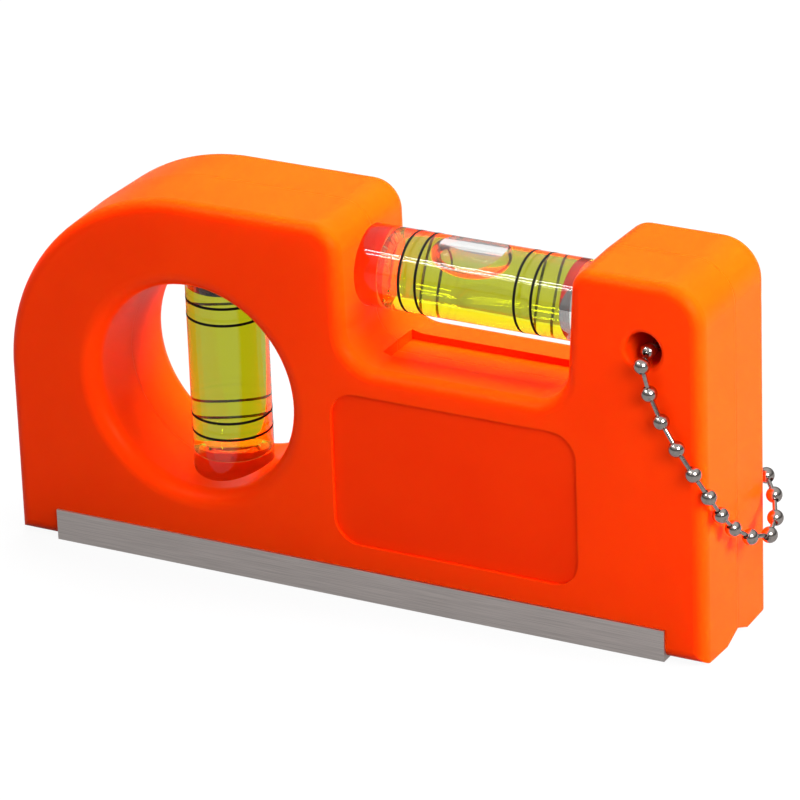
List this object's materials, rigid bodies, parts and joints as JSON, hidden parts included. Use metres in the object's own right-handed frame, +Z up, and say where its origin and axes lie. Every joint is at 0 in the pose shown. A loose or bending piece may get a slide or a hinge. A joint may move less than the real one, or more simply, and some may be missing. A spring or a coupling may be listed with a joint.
{
  "type": "magnetic spirit level",
  "caption": "Pocket spirit level with a level vial across a saddle, a plumb vial in a round window, a magnetic grooved base and a ball chain loop.",
  "frame": {"origin": "middle of the body's length and depth, on the plane that the base measures from", "axes": "+X along the length towards the chain, +Y from the labelled face to the back, +Z up"},
  "size_m": [0.1188, 0.0284, 0.058],
  "materials": {
    "body_plastic": "glossy, slightly translucent orange moulding",
    "channel_aluminium": "milled with fine lengthwise lines",
    "magnet_metal": "nickel plated",
    "vial_acrylic": "clear, polished",
    "vial_fluid": "clear yellow-green fluid",
    "line_ink": "printed black",
    "chain_steel": "bright nickel plate"
  },
  "bodies": {
    "root": {"base_channel": "channel_aluminium", "body_front_half": "body_plastic", "body_rear_half": "body_plastic", "chain_ball_01": "chain_steel", "chain_ball_02": "chain_steel", "chain_ball_03": "chain_steel", "chain_ball_04": "chain_steel", "chain_ball_05": "chain_steel", "chain_ball_06": "chain_steel", "chain_ball_07": "chain_steel", "chain_ball_08": "chain_steel", "chain_ball_09": "chain_steel", "chain_ball_10": "chain_steel", "chain_ball_11": "chain_steel", "chain_ball_12": "chain_steel", "chain_ball_13": "chain_steel", "chain_ball_14": "chain_steel", "chain_ball_15": "chain_steel", "chain_ball_16": "chain_steel", "chain_ball_17": "chain_steel", "chain_ball_18": "chain_steel", "chain_ball_19": "chain_steel", "chain_ball_20": "chain_steel", "chain_ball_21": "chain_steel", "chain_ball_22": "chain_steel", "chain_ball_23": "chain_steel", "chain_ball_24": "chain_steel", "chain_ball_25": "chain_steel", "chain_clasp": "chain_steel", "chain_pins": "chain_steel", "level_vial_barrel": "vial_acrylic", "level_vial_fluid": "vial_fluid", "level_vial_lines": "line_ink", "level_vial_plug": "vial_acrylic", "magnet_left": "magnet_metal", "magnet_right": "magnet_metal", "plumb_vial_barrel": "vial_acrylic", "plumb_vial_fluid": "vial_fluid", "plumb_vial_lines": "line_ink", "plumb_vial_plug": "vial_acrylic"}
  },
  "joints": []
}
